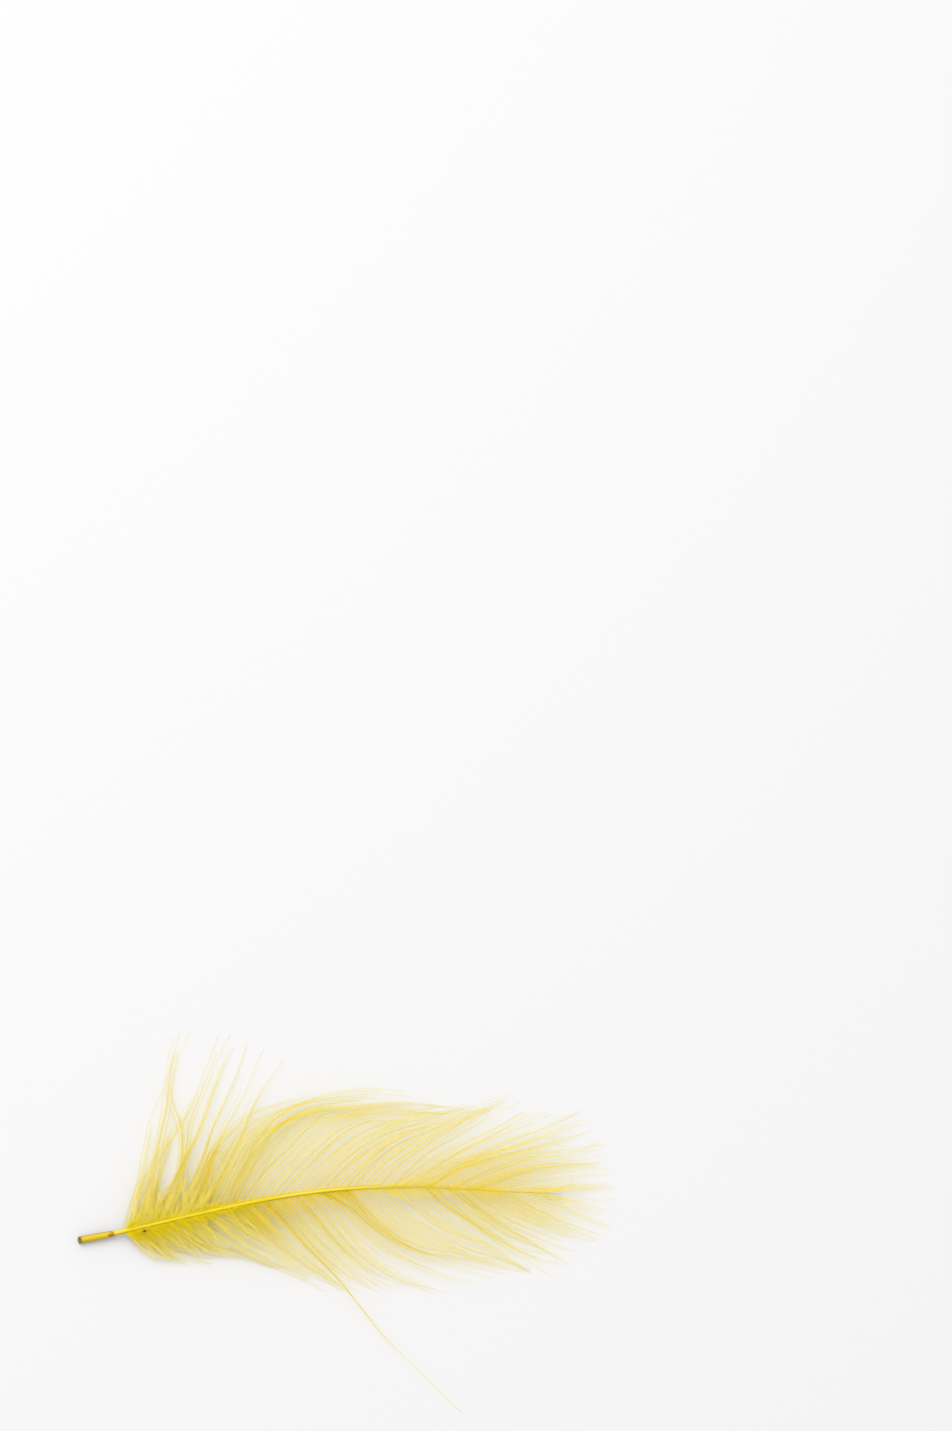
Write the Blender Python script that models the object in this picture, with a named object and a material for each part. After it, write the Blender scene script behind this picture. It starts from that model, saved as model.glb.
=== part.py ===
# Dyed cul de canard feather, lying outer side up on a flat surface.
# One closed solid: a hollow quill that tapers into the shaft, with the barbs joined to it as flat locks.
# Its highest line is the arched shaft, and it stands on the quill's cut end and on the tips of the locks.
# X runs from the quill to the tip, Y across the vanes and Z up. The origin is under the middle of the feather.
import math

import bmesh
import bpy
import numpy as np
from mathutils import Quaternion, Vector

MM = 0.001
WELD = 0.00001  # metres

# Shaft, in millimetres.
SHAFT_LINE = [  # centre of the shaft, from the cut end of the quill to its thin end
    (-30.2, -2.1, 0.38),
    (-25.0, -1.0, 0.85),
    (-16.2, 0.9, 1.75),
    (-8.6, 2.4, 2.3),
    (-2.1, 3.3, 2.55),
    (4.1, 3.7, 2.5),
    (10.6, 3.7, 2.15),
    (17.6, 3.4, 1.5),
    (24.6, 3.2, 0.85),
]
SHAFT_RINGS = 26
QUILL_RADIUS = 0.42
SHAFT_END_RADIUS = 0.11
QUILL_LENGTH = 5.0  # bare quill before the first barbs
TAPER_POWER = 1.6
BORE_RADIUS = 0.24
BORE_DEPTH = 3.0
CUT_ANGLE = math.radians(31)  # how far the quill's cut leans back from square

# Vanes. Each row is one lock: where it leaves the shaft in X, its heading there and at its tip in degrees
# from +X, and its length in millimetres. Locks between two rows are blended from them.
UPPER_ROWS = [
    (-24.7, 72, 66, 7.0),
    (-21.4, 68, 62, 9.0),
    (-18.4, 68, 56, 11.5),
    (-15.6, 72, -20, 32.0),
    (-12.1, 64, -6, 27.0),
    (-8.7, 56, 0, 26.5),
    (-4.1, 49, 8, 23.5),
    (0.4, 45, 18, 21.5),
    (3.8, 37, 25, 19.5),
    (6.2, 31, 23, 22.0),
    (11.1, 30, 13, 17.0),
    (16.2, 31, 0, 13.5),
    (20.2, 15, 8, 9.8),
    (23.8, 5, 3, 6.3),
]
LOWER_ROWS = [
    (-24.7, -60, -14, 6.0),
    (-22.4, -50, 2, 9.0),
    (-19.4, -40, -10, 12.0),
    (-15.4, -38, -24, 20.5),
    (-10.9, -41, -38, 17.5),
    (-6.4, -43, -22, 23.5),
    (-2.4, -43, -14, 21.0),
    (0.4, -50, -6, 23.5),
    (6.1, -40, -30, 17.0),
    (10.0, -44, -24, 17.5),
    (14.0, -31, -19, 14.5),
    (17.9, -30, -26, 11.8),
    (20.8, -16, -16, 8.8),
    (23.8, -5, -4, 6.0),
]
LOCKS_PER_VANE = 30
LOCK_WIDTH = 1.75
HEADING_SCATTER = 2.5  # degrees, either way
LENGTH_SCATTER = 0.05  # share of the length, either way

# Down: long loose locks at the quill end, in the same four numbers.
DOWN_ROWS = [
    (-24.8, 79, 73, 23.4),
    (-23.8, 78, 67, 23.6),
    (-23.0, 68, 70, 23.0),
    (-21.6, 75, 66, 22.6),
    (-20.4, 72, 64, 22.0),
    (-19.0, 74, 113, 14.9),
    (-18.2, 74, 65, 19.6),
    (-17.2, 72, 63, 21.3),
    (-16.0, 77, 49, 18.8),
]
DOWN_WIDTH = 0.8
STRAY_ROW = (-9.6, -50, -43.5, 32.8)  # one barb that has come loose and points away from the vane
STRAY_WIDTH = 0.75

# Section and rise of a lock.
LOCK_STEPS = 7
LOCK_FLATNESS = 0.3  # thickness over width
TIP_SHARE = 0.2  # width at the tip over the greatest width
NARROWING_POWER = 1.6  # the higher, the later a lock narrows
LOCK_ARCH = 0.45  # how far a lock bulges above its fall to the surface
LAYER_RISE = 0.14  # how far one layer of locks bulges above the next
VANE_LAYERS = (1, -1)
DOWN_LAYERS = (2, 4)
STRAY_LAYER = 2
FALL_POWER = 1.5

YELLOW = (0.86, 0.66, 0.05, 1.0)


def smooth_line(points, count):
    """Catmull-Rom curve through the points, read at count evenly spaced parameters."""
    padded = np.array([points[0], *points, points[-1]], float)
    places = np.linspace(0, len(points) - 1 - 1e-9, count)
    first = places.astype(int)
    t = (places - first)[:, None]
    before, start, end, after = (padded[first + k] for k in range(4))
    return 0.5 * (
        2 * start
        + (end - before) * t
        + (2 * before - 5 * start + 4 * end - after) * t**2
        + (3 * start - before - 3 * end + after) * t**3
    )


FINE_LINE = smooth_line(SHAFT_LINE, 400)


def shaft_point(x):
    """Centre of the shaft at this X, in millimetres."""
    return np.array([np.interp(x, FINE_LINE[:, 0], FINE_LINE[:, axis]) for axis in range(3)])


def shaft_radius(x):
    """The quill is even, and from the first barbs the shaft tapers to a hair."""
    first_barb = SHAFT_LINE[0][0] + QUILL_LENGTH
    share = np.clip((x - first_barb) / (SHAFT_LINE[-1][0] - first_barb), 0, 1)
    return SHAFT_END_RADIUS + (QUILL_RADIUS - SHAFT_END_RADIUS) * (1 - share) ** TAPER_POWER


def scatter(number):
    """A repeatable value from -1 to 1 for lock number."""
    wave = math.sin(12.9898 * number + 4.1) * 43758.5453
    return 2 * (wave - math.floor(wave)) - 1


def barb_line(row, layer):
    """Points along one lock: its heading turns evenly from root to tip while it falls from shaft to surface."""
    root_x, launch, arrive, length = row
    share = np.linspace(0, 1, LOCK_STEPS)
    middle = (share[1:] + share[:-1]) / 2
    heading = np.radians(launch + (arrive - launch) * middle)
    step = length / (LOCK_STEPS - 1)
    root = shaft_point(root_x)
    x = root[0] + np.concatenate([[0], np.cumsum(np.cos(heading)) * step])
    y = root[1] + np.concatenate([[0], np.cumsum(np.sin(heading)) * step])
    bulge = np.sin(math.pi * share)
    height = root[2] * (1 - share) ** FALL_POWER + LOCK_ARCH * bulge + layer * LAYER_RISE * bulge
    return np.stack([x, y, height], axis=1)


def vane_rows(rows, count, first_number):
    """Locks spread evenly along the shaft, each blended from the rows on either side of it."""
    table = np.array(rows, float)
    made = []
    for index, x in enumerate(np.linspace(table[0, 0], table[-1, 0], count)):
        launch, arrive, length = (np.interp(x, table[:, 0], table[:, column]) for column in (1, 2, 3))
        number = first_number + index
        turn = HEADING_SCATTER * scatter(number)
        stretch = 1 + LENGTH_SCATTER * scatter(number + 0.5)
        made.append((x, launch, arrive + turn, length * stretch))
    return made


def new_collection(name):
    collection = bpy.data.collections.new(name)
    bpy.context.scene.collection.children.link(collection)
    return collection


def make_helper(obj):
    obj.hide_render = True
    obj.display_type = "WIRE"


def add_profile(collection):
    """Lens outline, one unit wide, that is carried along each lock."""
    curve = bpy.data.curves.new("lock_profile", "CURVE")
    curve.dimensions = "2D"
    spline = curve.splines.new("POLY")
    corners = [(0.5, 0.0), (0.0, -LOCK_FLATNESS / 2), (-0.5, 0.0), (0.0, LOCK_FLATNESS / 2)]
    spline.points.add(len(corners) - 1)
    for point, (across, up) in zip(spline.points, corners):
        point.co = (across * MM, up * MM, 0, 1)
    spline.use_cyclic_u = True
    profile = bpy.data.objects.new("lock_profile", curve)
    collection.objects.link(profile)
    make_helper(profile)
    return profile


def mesh_from_curve(obj, collection, name):
    """The curve as a closed mesh object, its caps welded on and its faces turned outward."""
    bpy.context.view_layer.update()
    graph = bpy.context.evaluated_depsgraph_get()
    mesh = bpy.data.meshes.new_from_object(obj.evaluated_get(graph))
    place = obj.matrix_world.copy()
    bpy.data.objects.remove(obj)
    surface = bmesh.new()
    surface.from_mesh(mesh)
    bmesh.ops.remove_doubles(surface, verts=surface.verts, dist=WELD)
    bmesh.ops.recalc_face_normals(surface, faces=surface.faces)
    surface.to_mesh(mesh)
    surface.free()
    made = bpy.data.objects.new(name, mesh)
    made.matrix_world = place
    collection.objects.link(made)
    return made


def add_swept(name, points, radii, collection, profile=None):
    """A poly curve through the points, in millimetres, with its section scaled by radii, made a mesh."""
    curve = bpy.data.curves.new(name + "_line", "CURVE")
    curve.dimensions = "3D"
    curve.twist_mode = "Z_UP"
    curve.use_fill_caps = True
    spline = curve.splines.new("POLY")
    spline.points.add(len(points) - 1)
    for point, place, radius in zip(spline.points, points, radii):
        point.co = (*(place * MM), 1)
        point.radius = radius
    if profile is None:
        curve.bevel_depth = MM
        curve.bevel_resolution = 2
    else:
        curve.bevel_mode = "OBJECT"
        curve.bevel_object = profile
    swept = bpy.data.objects.new(name + "_line", curve)
    collection.objects.link(swept)
    return mesh_from_curve(swept, collection, name)


def add_lock(name, row, width, layer, profile, collection):
    """One lock: broad for most of its length, then narrowing to its tip, and resting on its tip."""
    points = barb_line(row, layer)
    share = np.linspace(0, 1, LOCK_STEPS)
    widths = width * (1 - (1 - TIP_SHARE) * share**NARROWING_POWER)
    points[:, 2] += LOCK_FLATNESS * widths / 2 * share
    lock = add_swept(name, points, widths, collection, profile)
    make_helper(lock)
    return lock


def add_locks(collection):
    """Every lock of both vanes, the down and the stray barb, neighbours on alternate layers."""
    profile = add_profile(collection)
    upper = vane_rows(UPPER_ROWS, LOCKS_PER_VANE, 0)
    lower = vane_rows(LOWER_ROWS, LOCKS_PER_VANE, LOCKS_PER_VANE)
    groups = [
        ("upper_lock", upper, LOCK_WIDTH, VANE_LAYERS),
        ("lower_lock", lower, LOCK_WIDTH, VANE_LAYERS),
        ("down_lock", DOWN_ROWS, DOWN_WIDTH, DOWN_LAYERS),
        ("stray_lock", [STRAY_ROW], STRAY_WIDTH, (STRAY_LAYER,)),
    ]
    for name, rows, width, layers in groups:
        for index, row in enumerate(rows):
            layer = layers[index % len(layers)]
            add_lock(f"{name}_{index}", row, width, layer, profile, collection)
    bpy.data.objects.remove(profile)


def add_shaft(collection):
    """Quill and shaft as one tapered tube, closed at both ends."""
    points = smooth_line(SHAFT_LINE, SHAFT_RINGS)
    return add_swept("feather", points, shaft_radius(points[:, 0]), collection)


def add_bore_cutter(collection):
    """A rod down the middle of the quill, from outside its cut end."""
    start, inner = Vector(SHAFT_LINE[0]), Vector(SHAFT_LINE[1])
    along = (inner - start).normalized()
    bpy.ops.mesh.primitive_cylinder_add(vertices=8, radius=BORE_RADIUS * MM, depth=2 * BORE_DEPTH * MM)
    cutter = bpy.context.object
    cutter.name = "quill_bore"
    cutter.rotation_mode = "QUATERNION"
    cutter.rotation_quaternion = along.to_track_quat("Z", "Y")
    cutter.location = start * MM
    return place_cutter(cutter, collection)


def add_end_cutter(collection):
    """A block whose face is the slanting cut, so that the hollow end can be seen from above."""
    start, inner = Vector(SHAFT_LINE[0]), Vector(SHAFT_LINE[1])
    along = (inner - start).normalized()
    side = 4 * QUILL_RADIUS * MM
    bpy.ops.mesh.primitive_cube_add(size=side)
    cutter = bpy.context.object
    cutter.name = "quill_end_cut"
    across = along.cross(Vector((0, 0, 1))).normalized()
    face = along.copy()
    face.rotate(Quaternion(across, CUT_ANGLE))
    cutter.rotation_mode = "QUATERNION"
    cutter.rotation_quaternion = face.to_track_quat("Z", "Y")
    reach = QUILL_RADIUS * math.tan(CUT_ANGLE)
    cutter.location = (start + along * reach) * MM - face * (side / 2)
    return place_cutter(cutter, collection)


def place_cutter(cutter, collection):
    for other in list(cutter.users_collection):
        other.objects.unlink(cutter)
    collection.objects.link(cutter)
    make_helper(cutter)
    return cutter


def feather_material():
    material = bpy.data.materials.new("dyed_down")
    material.use_nodes = True
    shader = material.node_tree.nodes["Principled BSDF"]
    shader.inputs["Base Color"].default_value = YELLOW
    shader.inputs["Roughness"].default_value = 0.6
    shader.inputs["Metallic"].default_value = 0.0
    return material


def main():
    for obj in list(bpy.data.objects):
        bpy.data.objects.remove(obj, do_unlink=True)
    parts = new_collection("cul_de_canard_feather")
    locks = new_collection("locks")
    cutters = new_collection("cutters")
    add_locks(locks)
    feather = add_shaft(parts)
    union = feather.modifiers.new("join the locks", "BOOLEAN")
    union.operation = "UNION"
    union.operand_type = "COLLECTION"
    union.collection = locks
    union.solver = "EXACT"
    for cutter in (add_end_cutter(cutters), add_bore_cutter(cutters)):
        cut = feather.modifiers.new(cutter.name, "BOOLEAN")
        cut.operation = "DIFFERENCE"
        cut.object = cutter
        cut.solver = "EXACT"
    feather.data.materials.clear()
    feather.data.materials.append(feather_material())


main()
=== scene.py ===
import math

import bpy
import numpy as np
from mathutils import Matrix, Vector


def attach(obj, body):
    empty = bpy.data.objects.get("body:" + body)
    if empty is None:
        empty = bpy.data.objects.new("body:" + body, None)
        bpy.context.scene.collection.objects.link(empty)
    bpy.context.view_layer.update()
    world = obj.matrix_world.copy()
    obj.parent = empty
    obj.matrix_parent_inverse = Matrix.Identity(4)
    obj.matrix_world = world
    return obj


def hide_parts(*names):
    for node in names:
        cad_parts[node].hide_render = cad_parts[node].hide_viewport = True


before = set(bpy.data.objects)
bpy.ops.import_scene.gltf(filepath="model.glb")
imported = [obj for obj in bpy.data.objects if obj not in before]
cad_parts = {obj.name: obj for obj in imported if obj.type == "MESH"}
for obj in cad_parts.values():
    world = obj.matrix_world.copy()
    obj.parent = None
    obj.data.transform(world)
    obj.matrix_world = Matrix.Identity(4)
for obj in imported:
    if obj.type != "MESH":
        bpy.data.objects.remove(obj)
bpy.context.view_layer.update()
mm = 0.001
up = np.array([0.0, 0.0, 1.0])
heights = (0.002, 2.9)  # no fibre lies lower or stands higher

bpy.context.scene.view_settings.view_transform = "Standard"


# Catmull-Rom through the points: each span is the usual cubic of its two ends and their outer neighbours.
def smoothLine(points, count):
    padded = np.array([points[0], *points, points[-1]], float)
    places = np.linspace(0, len(points) - 1 - 1e-9, count)  # just short of the last point
    first = places.astype(int)
    t = (places - first)[:, None]
    before, start, end, after = (padded[first + k] for k in range(4))
    flat = 2 * start + (end - before) * t
    square = (2 * before - 5 * start + 4 * end - after) * t**2
    cube = (3 * start - before - 3 * end + after) * t**3
    return 0.5 * (flat + square + cube)


def smoothStep(value):  # 3v² - 2v³ between 0 and 1
    value = np.clip(value, 0, 1)
    return value * value * (3 - 2 * value)


def unit(vectors):
    return vectors / np.linalg.norm(vectors, axis=-1, keepdims=True)


# Two directions across each tangent: level is tangent x up, and lift is level x tangent.
def acrossTangents(tangents):
    level = unit(np.cross(tangents, up))
    return level, np.cross(level, tangents)


def evenAngles(count):  # a full turn in even steps
    return np.arange(count) * 2 * math.pi / count


# Rings of unit vectors: cos a * level + sin a * lift at each even angle a.
def ringsAcross(level, lift, sides):
    angle = evenAngles(sides)[:, None]
    return np.cos(angle) * level[..., None, :] + np.sin(angle) * lift[..., None, :]


# Neighbouring rings of points are joined by two triangles a side.
def wallTriangles(rings, sides):
    side = np.arange(sides)
    near = np.arange(rings - 1)[:, None] * sides + side
    nearNext = np.arange(rings - 1)[:, None] * sides + (side + 1) % sides
    wall = np.stack([near, near + sides, nearNext + sides, near, nearNext + sides, nearNext], axis=-1)
    return wall.reshape(-1, 3)


# The wall of a tube, with a fan over its first ring and one over its last.
def tubeTriangles(rings, sides):
    fan = np.arange(1, sides - 1)
    foot = np.stack([np.zeros_like(fan), fan, fan + 1], axis=-1)
    cap = foot[:, ::-1] + (rings - 1) * sides
    return np.concatenate([wallTriangles(rings, sides), foot, cap])


# Closed tubes round many paths at once: every ring point is its path's point + radius * ring vector.
def tubes(paths, radii, sides):
    count, steps = paths.shape[:2]
    level, lift = acrossTangents(unit(np.gradient(paths, axis=1)))
    points = paths[:, :, None] + radii[:, :, None, None] * ringsAcross(level, lift, sides)
    starts = np.arange(count)[:, None, None] * steps * sides
    return points.reshape(-1, 3), (tubeTriangles(steps, sides)[None] + starts).reshape(-1, 3)


# Closed three-sided spikes: a ring of three points round each root, and root + length * direction as the tip.
def spikes(roots, directions, lengths, radii):
    foot = roots[:, None] + radii[:, None, None] * ringsAcross(*acrossTangents(directions), 3)
    tips = roots + directions * lengths[:, None]
    points = np.concatenate([foot, tips[:, None]], axis=1).reshape(-1, 3)
    single = np.array([(0, 1, 2), (1, 0, 3), (2, 1, 3), (0, 2, 3)])
    starts = np.arange(len(roots))[:, None, None] * 4
    return points, (single[None] + starts).reshape(-1, 3)


# Joins (points, triangles, values) parts into one mesh object, each part's triangles counted on from the points
# before it. Values are numbers kept on the points. Parts take the materials in turn, and the last material goes
# on for any parts that are left.
def makeObject(name, parts, materials):
    offsets = np.cumsum([0] + [len(part[0]) for part in parts[:-1]])
    points = np.concatenate([part[0] for part in parts])
    triangles = np.concatenate([part[1] + offset for part, offset in zip(parts, offsets)])
    points[:, 2] = np.clip(points[:, 2], *heights)
    mesh = bpy.data.meshes.new(name)
    mesh.vertices.add(len(points))
    mesh.vertices.foreach_set("co", (points * mm).ravel())
    mesh.loops.add(triangles.size)
    mesh.loops.foreach_set("vertex_index", triangles.ravel())
    mesh.polygons.add(len(triangles))
    mesh.polygons.foreach_set("loop_start", np.arange(0, triangles.size, 3))
    mesh.polygons.foreach_set("use_smooth", np.ones(len(triangles), bool))
    slots = [np.full(len(part[1]), min(index, len(materials) - 1)) for index, part in enumerate(parts)]
    mesh.polygons.foreach_set("material_index", np.concatenate(slots))
    mesh.update(calc_edges=True)
    for key in parts[0][2]:
        layer = mesh.attributes.new(key, "FLOAT", "POINT")
        layer.data.foreach_set("value", np.concatenate([part[2][key] for part in parts]))
    for material in materials:
        mesh.materials.append(material)
    made = bpy.data.objects.new(name, mesh)
    bpy.context.scene.collection.objects.link(made)
    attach(made, "root")
    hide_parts("feather")
    print(f"{name}: {len(triangles)} triangles")


# Shaft: centre line and radius. The quill is even, and from the first barbs the shaft tapers to a hair.
shaft = {
    "line": [
        (-30.7, -2.08, 0.4, 0.4),
        (-27.8, -1.55, 0.6, 0.39),
        (-25.0, -1.0, 0.85, 0.27),
        (-16.2, 0.9, 1.75, 0.24),
        (-8.6, 2.4, 2.3, 0.21),
        (-2.1, 3.3, 2.55, 0.185),
        (4.1, 3.7, 2.5, 0.135),
        (10.6, 3.7, 2.15, 0.085),
        (17.6, 3.4, 1.5, 0.055),
        (24.6, 3.2, 0.85, 0.03),
    ],
    "samples": 600,
    "rings": 220,
    "ringSamples": 2000,
    "crowding": 1.15,  # rings stand closer at the quill
    "sides": 20,
    "cutAngle": 31,
    "cutRings": 12,
    "boreRadius": 0.25,
    "boreDepth": 3.0,
    "boreRings": 8,
    "boreSlant": 0.64,
    "boreFade": 1.0,
}
shaftLine = smoothLine(shaft["line"], shaft["samples"])


def shaftAt(x):
    return np.stack([np.interp(x, shaftLine[:, 0], shaftLine[:, axis]) for axis in range(3)], axis=-1)


# A barb's height falls from the shaft to the table and bulges on the way:
# height = root * ((1 - share) ^ fall + held * share) + arch * sin(pi * share) + tip * share.
def barbHeight(share, root, arch, fall=1.5, held=0.0, tip=0.08):
    return root * ((1 - share) ** fall + held * share) + arch * np.sin(math.pi * share) + tip * share


# The photo's view. The camera takes it, and lines picked on the photo are brought to the feather through it.
view = {
    "frame": (952, 1431),
    "elevation": 74,
    "lens": 100,
    "sensor": 36,
    "aim": (14.83, 60.4, 0.0),
    "distance": 471.4,
    "clip": (0.01, 10),
}
picking = {
    "samples": 400,
    "spans": 40,  # the directions that are fitted
    "arch": 0.6,
    "passes": 3,  # each takes the root's height from the last one
    "quillEnd": (-30.45, -2.15, 0.38),  # in place of the shaft's first two points
    "shaftSamples": 2000,
}
pickedShaft = [picking["quillEnd"], *(point[:3] for point in shaft["line"][2:])]
pickedShaft = smoothLine(pickedShaft, picking["shaftSamples"])


# Plan of pixels of the photo, each at a height of its own: eye + ray * (height - eye's height) / ray's rise.
def onPlan(pixels, height):
    lean = math.radians(view["elevation"])
    back = np.array([0, -math.cos(lean), math.sin(lean)])
    top = np.array([0, math.sin(lean), math.cos(lean)])
    eye = view["aim"] + back * view["distance"]
    focal = view["lens"] / view["sensor"] * view["frame"][1]
    across, down = ((pixels - np.array(view["frame"]) / 2) / focal).T[:, :, None]
    rays = across * (1, 0, 0) - down * top - back
    return (eye + rays * ((height - eye[2]) / rays[:, 2])[:, None])[:, :2]


# A barb's row from pixels picked on it, from the shaft outwards. The smooth line through the picks is
# brought to plan at a barb's height, and its start is moved onto the nearest point of the shaft, by the gap
# times (1 - share)³. Least squares fit its directions with whole degrees at evenly spaced stations. Turned
# headings, a place on the shaft and a length, where they are given, are set as listed.
def pickedRow(*pixels, stations=8, turned=0, rootX=None, length=None):
    line = smoothLine(pixels, picking["samples"])
    share = np.linspace(0, 1, picking["samples"])
    root = shaftAt(0.0)
    for _ in range(picking["passes"]):
        plan = onPlan(line, barbHeight(share, root[2], picking["arch"]))
        root = pickedShaft[np.linalg.norm(pickedShaft[:, :2] - plan[0], axis=1).argmin()]
    plan = plan + (root[:2] - plan[0]) * ((1 - share) ** 3)[:, None]
    passed = np.concatenate([[0], np.cumsum(np.linalg.norm(np.diff(plan, axis=0), axis=1))])
    even = np.linspace(0, passed[-1], picking["spans"] + 1)
    steps = np.diff([np.interp(even, passed, column) for column in plan.T])
    heading = np.degrees(np.unwrap(np.arctan2(steps[1], steps[0])))
    middle = (np.arange(picking["spans"]) + 0.5) / picking["spans"] * (stations - 1)
    weights = np.clip(1 - np.abs(middle[:, None] - np.arange(stations)), 0, 1)
    headings = np.linalg.lstsq(weights, heading, rcond=None)[0]
    return rootX or root[0].round(1), headings.round() + turned, length or passed[-1].round(1)


# Barbs. A barb's heading, in degrees from +X, is blended between evenly spaced values along it, and its plan is
# the running sum of cosine and sine of that heading.
def growBarbs(rootX, headings, lengths, arch, steps, **lie):
    share = np.linspace(0, 1, steps)
    place = (share[1:] + share[:-1]) / 2 * (headings.shape[1] - 1)
    first = place.astype(int)
    part = place - first
    heading = np.radians(headings[:, first] * (1 - part) + headings[:, first + 1] * part)
    step = (lengths / (steps - 1))[:, None]
    root = shaftAt(rootX)
    paths = np.zeros((len(rootX), steps, 3))
    paths[:, 1:, 0] = np.cumsum(np.cos(heading) * step, axis=1)
    paths[:, 1:, 1] = np.cumsum(np.sin(heading) * step, axis=1)
    paths[:, :, :2] += root[:, None, :2]
    paths[:, :, 2] = barbHeight(share, root[:, 2:], arch[:, None], **lie)
    return paths


# Slow sideways waves across each barb: size * (sin(2 pi (cycles * share + phase)) - sin(2 pi phase)) * share.
def sway(paths, size, cycles, phase):
    share = np.linspace(0, 1, paths.shape[1])
    level, _ = acrossTangents(unit(np.gradient(paths, axis=1)))
    turns = 2 * math.pi * phase[:, None]
    wave = np.sin(2 * math.pi * cycles[:, None] * share + turns) - np.sin(turns)
    return paths + level * (size[:, None] * wave * share)[:, :, None]


# Barbs of one clump draw together in plan. Each moves towards the clump's mean line by tightness times
# smoothStep of how far it has run from the clump's start to the share where the clump is closed.
def gather(paths, clump, tightness, start, full):
    share = np.linspace(0, 1, paths.shape[1])
    total = np.zeros((len(tightness), *paths.shape[1:]))
    np.add.at(total, clump, paths)
    mean = total / np.maximum(np.bincount(clump, minlength=len(tightness)), 1)[:, None, None]
    run = smoothStep((share - start[clump][:, None]) / (full - start)[clump][:, None])
    pull = tightness[clump][:, None] * run
    moved = paths.copy()
    moved[:, :, :2] += (mean[clump] - paths)[:, :, :2] * pull[:, :, None]
    return moved


# Points of each barb at shares of its length, straight between its two nearest points, and the first of those.
def pointsAlong(paths, barb, share):
    place = share * (paths.shape[1] - 1 - 1e-6)
    first = place.astype(int)
    part = (place - first)[..., None]
    return paths[barb, first] * (1 - part) + paths[barb, first + 1] * part, first


# Cuts each path short: its points move back to even steps over the kept share of it.
def trim(paths, kept):
    share = np.linspace(0, 1, paths.shape[1]) * kept[:, None]
    return pointsAlong(paths, np.arange(len(paths))[:, None], share)[0]


# Barbules stand along both sides of each barb. Their roots are evenly spaced with jitter, and each points along
# the barb's tangent, turned by its angle towards one side and tilted out of the vane's plane. Angles, lengths
# and radii are pairs of rows, shares along the barb and the values there.
barbuleSpread = (0.6, 1.3)  # the shortest and the longest barbule against the row's length


def barbules(paths, tone, size, spec, seed):
    rng = np.random.default_rng(seed)
    lengths = np.linalg.norm(np.diff(paths, axis=1), axis=2).sum(axis=1)
    counts = np.maximum((lengths / spec["spacing"]).astype(int), 1)
    barb = np.repeat(np.arange(len(paths)), counts)
    order = np.arange(len(barb)) - np.repeat(np.cumsum(counts) - counts, counts)
    share = np.clip((order + rng.random(len(barb))) / counts[barb], 0, 1)
    roots, first = pointsAlong(paths, barb, share)
    along = unit(paths[barb, first + 1] - paths[barb, first])
    level, lift = acrossTangents(along)
    side = np.where(order % 2 == 0, 1.0, -1.0)
    turn = np.radians(np.interp(share, *spec["angle"]) + rng.normal(0, spec["angleSpread"], len(barb)))
    tilt = np.radians(rng.normal(0, spec["tilt"], len(barb)))
    outward = level * (side * np.cos(tilt))[:, None] + lift * np.sin(tilt)[:, None]
    directions = unit(along * np.cos(turn)[:, None] + outward * np.sin(turn)[:, None])
    reach = np.interp(share, *spec["length"]) * size[barb] * rng.uniform(*barbuleSpread, len(barb))
    points, triangles = spikes(roots, directions, reach, np.interp(share, *spec["radius"]))
    values = {"share": np.repeat(share, 4), "tone": np.repeat(tone[barb], 4)}
    return points, triangles, values


barbSides = 4
barbTaper = 0.6


# A barb is a tube of radius root + (tip - root) * share ^ taper.
def barbTubes(paths, tone, rootRadius, tipRadius):
    steps, sides = paths.shape[1], barbSides
    share = np.linspace(0, 1, steps)
    radii = np.broadcast_to(rootRadius + (tipRadius - rootRadius) * share**barbTaper, paths.shape[:2])
    points, triangles = tubes(paths, radii, sides)
    values = {"share": np.tile(np.repeat(share, sides), len(paths)), "tone": np.repeat(tone, steps * sides)}
    return points, triangles, values


# Colour of the dyed barbs, shared by every soft piece: deep at a barb's root, mixed with pale by
# paling * share + tone, which differs a little from barb to barb.
paling = 0.5


def dyeGroup():
    group = bpy.data.node_groups.new("dyeTone", "ShaderNodeTree")
    group.interface.new_socket("Deep", in_out="INPUT", socket_type="NodeSocketColor")
    group.interface.new_socket("Pale", in_out="INPUT", socket_type="NodeSocketColor")
    group.interface.new_socket("Colour", in_out="OUTPUT", socket_type="NodeSocketColor")
    nodes, links = group.nodes, group.links
    inlet = nodes.new("NodeGroupInput")
    outlet = nodes.new("NodeGroupOutput")
    share = nodes.new("ShaderNodeAttribute")
    share.attribute_name = "share"
    tone = nodes.new("ShaderNodeAttribute")
    tone.attribute_name = "tone"
    shift = nodes.new("ShaderNodeMath")
    shift.operation = "MULTIPLY_ADD"
    shift.inputs[1].default_value = paling
    links.new(share.outputs["Fac"], shift.inputs[0])
    links.new(tone.outputs["Fac"], shift.inputs[2])
    mix = nodes.new("ShaderNodeMix")
    mix.data_type = "RGBA"
    links.new(shift.outputs[0], mix.inputs["Factor"])
    links.new(inlet.outputs["Deep"], mix.inputs["A"])
    links.new(inlet.outputs["Pale"], mix.inputs["B"])
    links.new(mix.outputs["Result"], outlet.inputs["Colour"])
    return group


dyeTone = dyeGroup()


# A new material with its shader's roughness and gloss set.
def startMaterial(name, look):
    material = bpy.data.materials.new(name)
    material.use_nodes = True
    shader = material.node_tree.nodes["Principled BSDF"]
    shader.inputs["Roughness"].default_value = look["roughness"]
    shader.inputs["Specular IOR Level"].default_value = look["specular"]
    return material, material.node_tree.nodes, material.node_tree.links, shader


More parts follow.
